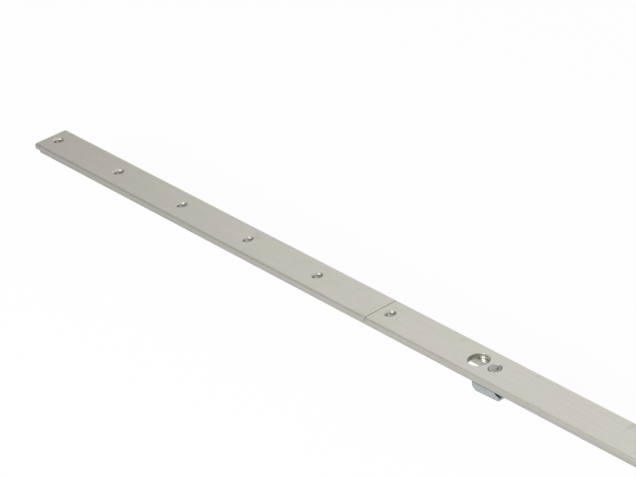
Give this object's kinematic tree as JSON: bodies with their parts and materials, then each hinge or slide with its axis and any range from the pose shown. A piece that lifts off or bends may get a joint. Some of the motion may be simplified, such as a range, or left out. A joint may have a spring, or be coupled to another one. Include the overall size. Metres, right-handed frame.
{
  "type": "window espagnolette",
  "caption": "Flat window espagnolette: two-part faceplate, sliding drive rod, gearbox with square spindle socket and mushroom locking cams.",
  "frame": {"origin": "spindle axis at mid width of the faceplate", "axes": "+X along the faceplate to its short end, +Y across its width along the spindle, +Z out of its outer face"},
  "size_m": [0.802, 0.02, 0.0397],
  "materials": {
    "faceplate_zinc": "satin zinc-plated steel strip, silver passivated",
    "rod_steel": "zinc-plated punched steel bar",
    "cast_zinc": "bluish grey zinc die casting",
    "rivet_steel": "zinc-plated steel",
    "sintered_steel": "oiled sintered steel",
    "cam_steel": "turned steel, zinc plated",
    "bush_nylon": "natural nylon"
  },
  "bodies": {
    "faceplate_set": {"end_faceplate": "faceplate_zinc", "main_faceplate": "faceplate_zinc", "end_studs": "rivet_steel", "stud_washers": "rivet_steel", "guide_block_left": "cast_zinc", "guide_block_right": "cast_zinc", "guide_rivets": "rivet_steel", "gearbox_case_near": "cast_zinc", "gearbox_case_far": "cast_zinc", "gearbox_posts": "rivet_steel", "case_rivets": "rivet_steel", "handle_bushes": "rivet_steel", "bearing_bush_near": "bush_nylon", "bearing_bush_far": "bush_nylon"},
    "drive_rod": {"end_rod": "rod_steel", "main_rod": "rod_steel", "rod_splice_plate": "rod_steel", "splice_rivets": "rivet_steel", "cam_pin_left": "rivet_steel", "cam_pin_right": "rivet_steel", "cam_washer_left": "bush_nylon", "cam_washer_right": "bush_nylon"},
    "follower": {"follower": "sintered_steel"},
    "cam_left": {"cam_left": "cam_steel"},
    "cam_right": {"cam_right": "cam_steel"}
  },
  "joints": [
    {"name": "rod_slide", "type": "slide", "parent": "faceplate_set", "child": "drive_rod", "axis": [1, 0, 0], "range_m": [-0.018, 0.018]},
    {"name": "follower_turn", "type": "hinge", "parent": "faceplate_set", "child": "follower", "pos_m": [0, 0, 0], "axis": [0, 1, 0], "range_deg": [-90, 90]},
    {"name": "cam_left_turn", "type": "hinge", "parent": "drive_rod", "child": "cam_left", "pos_m": [-0.082, 0, 0.0137], "axis": [0, 0, 1], "continuous": true},
    {"name": "cam_right_turn", "type": "hinge", "parent": "drive_rod", "child": "cam_right", "pos_m": [0.082, 0, 0.0137], "axis": [0, 0, 1], "continuous": true}
  ],
  "couplings": [
    {"joint": "follower_turn", "follows": "rod_slide", "rad_per_m": 87.26}
  ]
}
